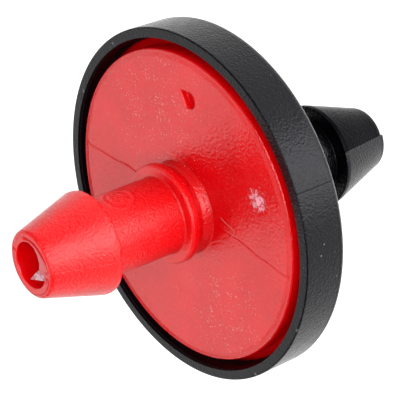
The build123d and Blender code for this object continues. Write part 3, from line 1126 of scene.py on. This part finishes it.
# ---------------------------------------------------------------- the barbed cup
@dataclass
class BarbedCup:
    """The black moulding: cup, snap bead, support ribs, seat hub and barbed inlet stem.

    Heights and the widest radii come from the frame; the rest are the moulding's own sizes, in
    millimetres and degrees.
    """

    rim_width: float = 0.57
    back_height: float = 1.00
    floor_thickness: float = 0.75
    back_round: float = 0.30
    front_round: float = 0.08
    seat_radius: float = 2.80
    seat_fillet: float = 0.20
    bore_radius: float = 1.10
    neck_radius: float = 2.12
    tip_radius: float = 1.85
    tip_round: float = 0.40
    crest_land: float = 0.25
    mouth_lip: float = 0.10
    relief_width: float = 0.12
    relief_depth: float = 0.10
    bead_height: float = 0.18
    bead_width: float = 0.30
    bead_level: float = 2.47
    rib_height: float = 0.15
    rib_width: float = 0.50
    rib_count: int = 12
    rib_inner: float = 1.90
    rib_outer: float = 7.11
    rib_draft: float = 0.02
    line_angle: float = 30.1
    halves_slip: float = 0.09
    columns: int = 460
    nicks: tuple[tuple[float, float], ...] = ((-46.4, 9.9), (-15.3, 9.95), (160.5, 9.6), (131.8, 9.65))

    def __post_init__(self) -> None:
        """Reads the frame and works out the derived sizes."""
        low, high = span("barbed_cup")
        barb = mount("inlet_barb")
        self.radius = high.x
        self.rim_height = high.z
        self.tip_height = low.z
        self.mouth_radius = self.radius - self.rim_width
        self.floor_height = self.back_height + self.floor_thickness
        self.crest_radius = barb["dims"]["r_mm"]
        self.ledge_height = barb["pos_m"][2] / MM + barb["dims"]["length_mm"] / 2
        step = 360 / self.rib_count
        sectors = [Sector(number * step - step / 2, number * step + step / 2, self.rib_flanks(number * step))
                   for number in range(self.rib_count)]
        clusters = [Cluster(self.line_angle, 2.5, 5), Cluster(self.line_angle + 180, 2.5, 5)]
        clusters += [Cluster(angle, 0.8, 4) for angle, _ in self.nicks]
        self.fan = Fan(sectors, clusters, self.columns)

    def rib_flanks(self, middle: float) -> Callable[[Array], Array]:
        """The two sides of the rib at an angle."""
        def flanks(radii: Array) -> Array:
            """Two angles for each radius: asin(half the width / radius) either side."""
            half = np.degrees(np.arcsin(self.rib_width / 2 / np.maximum(radii, self.rib_inner / 2)))
            return np.stack([middle - half, middle + half], 1)
        return flanks

    def outline(self) -> list[Corner]:
        """The cup's outline, clockwise from the mouth of the inlet bore."""
        bead, wall = self.bead_level, self.mouth_radius
        inner, lip = wall - self.bead_height, self.rim_height - self.mouth_lip
        pair = self.rib_draft / 2
        floor_radii = [
            self.rib_inner - pair, self.rib_inner + pair,
            self.rib_outer - pair, self.rib_outer + pair,
        ]
        return [
            Corner(self.bore_radius, self.tip_height, Zone.BORE, 10, 0.10),
            Corner(self.bore_radius, self.floor_height, Zone.FLOOR, 2, 0.06),
            Corner(floor_radii[0], self.floor_height, Zone.FLOOR, 1),
            Corner(floor_radii[1], self.floor_height, Zone.FLOOR, 8),
            Corner(floor_radii[2], self.floor_height, Zone.FLOOR, 1),
            Corner(floor_radii[3], self.floor_height, Zone.FLOOR, 3),
            Corner(wall, self.floor_height, Zone.WALL, 2, 0.05),
            Corner(wall, bead, Zone.WALL, 1, 0.02),
            Corner(inner, bead, Zone.WALL, 1, 0.02),
            Corner(inner, bead + self.bead_width / 3, Zone.WALL, 2, 0.02),
            Corner(wall, bead + self.bead_width, Zone.WALL, 4, 0.05),
            Corner(wall, lip - self.relief_width, Zone.WALL, 1, 0.01),
            Corner(wall + self.relief_depth, lip, Zone.WALL, 1, 0.01),
            Corner(wall, lip, Zone.WALL, 1, 0.01),
            Corner(wall, self.rim_height, Zone.RIM, 7, 0.03),
            Corner(self.radius, self.rim_height, Zone.SIDE, 14, self.front_round),
            Corner(self.radius, self.back_height, Zone.BACK, 16, self.back_round),
            Corner(self.seat_radius, self.back_height, Zone.HUB, 3, self.seat_fillet),
            Corner(self.seat_radius, 0, Zone.HUB, 3, 0.06),
            Corner(self.neck_radius, 0, Zone.NECK, 14, 0.05),
            Corner(self.neck_radius, self.ledge_height, Zone.LEDGE, 3, 0.05),
            Corner(self.crest_radius, self.ledge_height, Zone.CREST, 1, 0.04),
            Corner(self.crest_radius, self.ledge_height - self.crest_land, Zone.CONE, 14, 0.12),
            Corner(self.tip_radius, self.tip_height, Zone.TIP, 5, self.tip_round),
        ]

    def points(self) -> Array:
        """The cup's grid, worked over zone by zone."""
        rows = trace(self.outline())
        plain = self.fan.plain()[None, :]
        radius = np.repeat(rows.radius[:, None], plain.shape[1], 1)
        height = np.repeat(rows.height[:, None], plain.shape[1], 1)
        zone = rows.zone[:, None]
        ribbed = (rows.zone == Zone.FLOOR).astype(float)
        for blend, ends in ((Zone.BORE, (0, 1)), (Zone.WALL, (1, 0))):
            chosen = rows.zone == blend
            ribbed[chosen] = np.linspace(*ends, chosen.sum() + 2)[1:-1]
        angle = plain + ribbed[:, None] * (self.fan.pinned(rows.radius) - plain)

        off_line = radius * np.sin(np.radians(angle - self.line_angle))
        upper = smooth_step(-0.03, 0.03, off_line)
        seam = bell(off_line, 0.04)
        x, y = radius * np.cos(np.radians(angle)), radius * np.sin(np.radians(angle))

        height += (zone == Zone.FLOOR) * self.rib_lift(radius, angle)
        height += (zone == Zone.BACK) * self.back_marks(radius, x, y)
        radius += (zone == Zone.SIDE) * (0.012 * (upper - 0.5) - 0.018 * seam)
        radius += np.isin(zone, [Zone.NECK, Zone.CONE, Zone.CREST]) * (0.02 * (upper - 0.5) + 0.012 * seam)
        slip = self.halves_slip * smooth_step(self.ledge_height, self.tip_height, height)
        slip = slip * (zone != Zone.BORE)
        height += slip * upper
        radius -= 0.8 * slip * upper * (radius > self.bore_radius + 0.2)
        for nick_angle, nick_radius in self.nicks:
            across = radius * np.radians(turn_from(nick_angle, angle))
            dent = bell(np.hypot(across, radius - nick_radius), 0.10) * (height > self.rim_height - 0.2)
            height -= 0.03 * dent
        x, y = radius * np.cos(np.radians(angle)), radius * np.sin(np.radians(angle))
        return np.stack([x, y, height], -1)

    def rib_lift(self, radius: Array, angle: Array) -> Array:
        """The height of the ribs over the cup's floor."""
        step = 360 / self.rib_count
        across = abs(radius * np.sin(np.radians(turn_from(0, angle + step / 2) % step - step / 2)))
        return self.rib_height * (
            (across < self.rib_width / 2) & (radius > self.rib_inner) & (radius < self.rib_outer)
        )

    def nick_places(self) -> tuple[tuple[float, float, float], ...]:
        """The middles of the nicks in the rim."""
        return tuple(
            (radius * np.cos(np.radians(angle)), radius * np.sin(np.radians(angle)), self.rim_height)
            for angle, radius in self.nicks
        )

    def back_marks(self, radius: Array, x: Array, y: Array) -> Array:
        """What the back's height gains from the flash ridge at its edge and three ejector marks."""
        ridge = -0.035 * bell(radius - (self.radius - 0.17), 0.035)
        marks = np.zeros_like(x)
        for number in range(3):
            angle = np.radians(90 + 120 * number)
            away = np.hypot(x - 6.4 * np.cos(angle), y - 6.4 * np.sin(angle))
            marks += 0.03 * smooth_step(0.95, 0.85, away)
        return ridge + marks

    def build(self, material: bpy.types.Material) -> None:
        """Makes the cup."""
        cup = make_piece("barbed_cup_moulding", self.points(), material, "housing")
        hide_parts("barbed_cup")


# ---------------------------------------------------------------- the diaphragm
@dataclass
class Diaphragm:
    """The loose silicone disc, with a rounded edge and the mould's flash line round its middle."""

    edge_round: float = 0.10
    centre_radius: float = 0.25
    columns: int = 180

    def __post_init__(self) -> None:
        """Reads the frame."""
        low, high = span("diaphragm")
        self.low, self.high, self.radius = low.z, high.z, high.x

    def points(self) -> Array:
        """The disc's grid, from the middle of its top over the edge to the middle of its underside."""
        rows = trace([
            Corner(self.centre_radius, self.high, Zone.FACE, 16),
            Corner(self.radius, self.high, Zone.SIDE, 4, self.edge_round),
            Corner(self.radius, self.low, Zone.UNDER, 16, self.edge_round),
            Corner(self.centre_radius, self.low, Zone.UNDER),
        ])
        angle = np.radians(np.linspace(0, 360, self.columns, endpoint=False))[None, :]
        middle = (self.low + self.high) / 2
        flash = 0.0 * angle + 0.02 * bell(rows.height[:, None] - middle, 0.03) * (rows.radius[:, None] > 7)
        radius = rows.radius[:, None] - 0.02 * (rows.radius[:, None] > 7) + flash
        height = np.repeat(rows.height[:, None], self.columns, 1)
        return np.stack([radius * np.cos(angle), radius * np.sin(angle), height], -1)

    def build(self, material: bpy.types.Material) -> None:
        """Makes the disc."""
        disc = make_piece("silicone_diaphragm", self.points(), material, "diaphragm", capped=True)
        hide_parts("diaphragm")


# ---------------------------------------------------------------- studio
class Softbox(Enum):
    """The soft lights: azimuth and elevation in degrees, distance and size in millimetres, and how
    bright the panel looks, with the white of a sheet of paper as 1."""

    BEHIND = (-54, 41, 130, 165, 1.08)
    KEY = (122, 0, 120, 90, 3.8)
    FRONT = (124, 43, 150, 100, 5.2)
    OVERHEAD = (20, 70, 150, 120, 0.4)
    LOW = (124, -32, 72, 42, 3.8)


def heading(azimuth: float, elevation: float) -> Vector:
    """The direction that points at a viewer who stands at an azimuth and an elevation."""
    a, e = np.radians(azimuth), np.radians(elevation)
    return Vector((np.sin(a) * np.cos(e), -np.cos(a) * np.cos(e), np.sin(e)))


@dataclass
class Studio:
    """Floor, lights and camera.  Angles in degrees, lengths in millimetres."""

    floor_gap: float = 50.0
    floor_size: float = 20000.0
    sky: float = 0.25
    view_azimuth: float = 128.85
    view_elevation: float = 34.66
    view_roll: float = 111.16
    view_distance: float = 89.17
    aim_right: float = 1.03
    aim_up: float = 0.39
    lens: float = 147.9
    clip_near: float = 5.0
    clip_far: float = 5000.0

    def floor(self) -> None:
        """Lays the pale floor at its gap under the lowest point."""
        low = span("barbed_cup")[0].z - self.floor_gap
        half = self.floor_size / 2 * MM
        mesh = bpy.data.meshes.new("studio_floor")
        turns = ((-1, -1), (1, -1), (1, 1), (-1, 1))
        corners = [(half * x, half * y, low * MM) for x, y in turns]
        mesh.from_pydata(corners, [], [(0, 1, 2, 3)])
        mesh.materials.append(LightTable().make())
        floor = bpy.data.objects.new("studio_floor", mesh)
        bpy.context.scene.collection.objects.link(floor)

    def lights(self, middle: Vector) -> None:
        """Hangs the softboxes and sets the sky's even white."""
        for box in Softbox:
            azimuth, elevation, distance, size, brightness = box.value
            data = bpy.data.lights.new(f"softbox_{box.name.lower()}", "AREA")
            data.shape = "SQUARE"
            data.size = size * MM
            data.energy = brightness * np.pi * (size * MM) ** 2
            lamp = bpy.data.objects.new(data.name, data)
            away = heading(azimuth, elevation)
            lamp.location = (middle + away * distance) * MM
            lamp.rotation_mode = "QUATERNION"
            lamp.rotation_quaternion = away.to_track_quat("Z", "Y")
            lamp.visible_camera = False
            bpy.context.scene.collection.objects.link(lamp)
        world = bpy.data.worlds.new("studio_sky")
        world.use_nodes = True
        background = world.node_tree.nodes["Background"]
        background.inputs["Color"].default_value = (1, 1, 1, 1)
        background.inputs["Strength"].default_value = self.sky
        bpy.context.scene.world = world
        bpy.context.scene.view_settings.view_transform = "Standard"

    def camera(self, middle: Vector) -> None:
        """Sets the camera: level at its azimuth and elevation, then rolled, and aimed a little off
        the middle of the cup's rim."""
        back = heading(self.view_azimuth, self.view_elevation)
        level_right = Vector((0, 0, 1)).cross(back).normalized()
        level_up = back.cross(level_right)
        roll = np.radians(self.view_roll)
        up = level_up * np.cos(roll) + level_right * np.sin(roll)
        right = level_right * np.cos(roll) - level_up * np.sin(roll)
        aim = middle + right * self.aim_right + up * self.aim_up
        data = bpy.data.cameras.new("camera")
        data.lens = self.lens
        data.clip_start, data.clip_end = self.clip_near * MM, self.clip_far * MM
        camera = bpy.data.objects.new("camera", data)
        camera.matrix_world = Matrix.Translation((aim + back * self.view_distance) * MM) @ Matrix(
            (right, up, back)).transposed().to_4x4()
        bpy.context.scene.collection.objects.link(camera)
        bpy.context.scene.camera = camera


def main() -> None:
    """Builds the emitter and the studio."""
    logging.basicConfig(level=logging.INFO, format="%(message)s")
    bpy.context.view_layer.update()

    cup = BarbedCup()
    cover = OutletCover(cup.mouth_radius, cup.rim_height, cup.floor_height)
    disc = Diaphragm()
    dust_and_glint_drifts = (((-2.4, 5.0, cover.face_height), 6.3), ((4.3, -4.9, cover.face_height), 5.2))
    red = RedPlastic(gate=cover.gate(), face=cover.face_height, dust_and_glint_drifts=dust_and_glint_drifts).make()
    # The bore film's pale patch sits round this spot: a painted glint.
    film_glint_spot = (*cover.around(0.78, -35.0), cover.tip_height)
    film = RedPlastic(
        name="thin_red_film_painted_glint", deep=(0.82, 0.04, 0.05, 1), light=(0.92, 0.10, 0.12, 1), gate=film_glint_spot,
    )
    curl = RedPlastic(name="pale_red_curl", deep=(0.92, 0.10, 0.10, 1), light=(0.98, 0.22, 0.22, 1))
    black = BlackPlastic(line=cup.line_angle, barb=cup.ledge_height, scuffs=cup.nick_places())
    cup.build(black.make())
    disc.build(Silicone().make())
    cover.build(red, film.make(), curl.make())

    middle = Vector((0, 0, cup.rim_height))
    studio = Studio()
    studio.floor()
    studio.lights(middle)
    studio.camera(middle)


if __name__ == "__main__":
    main()
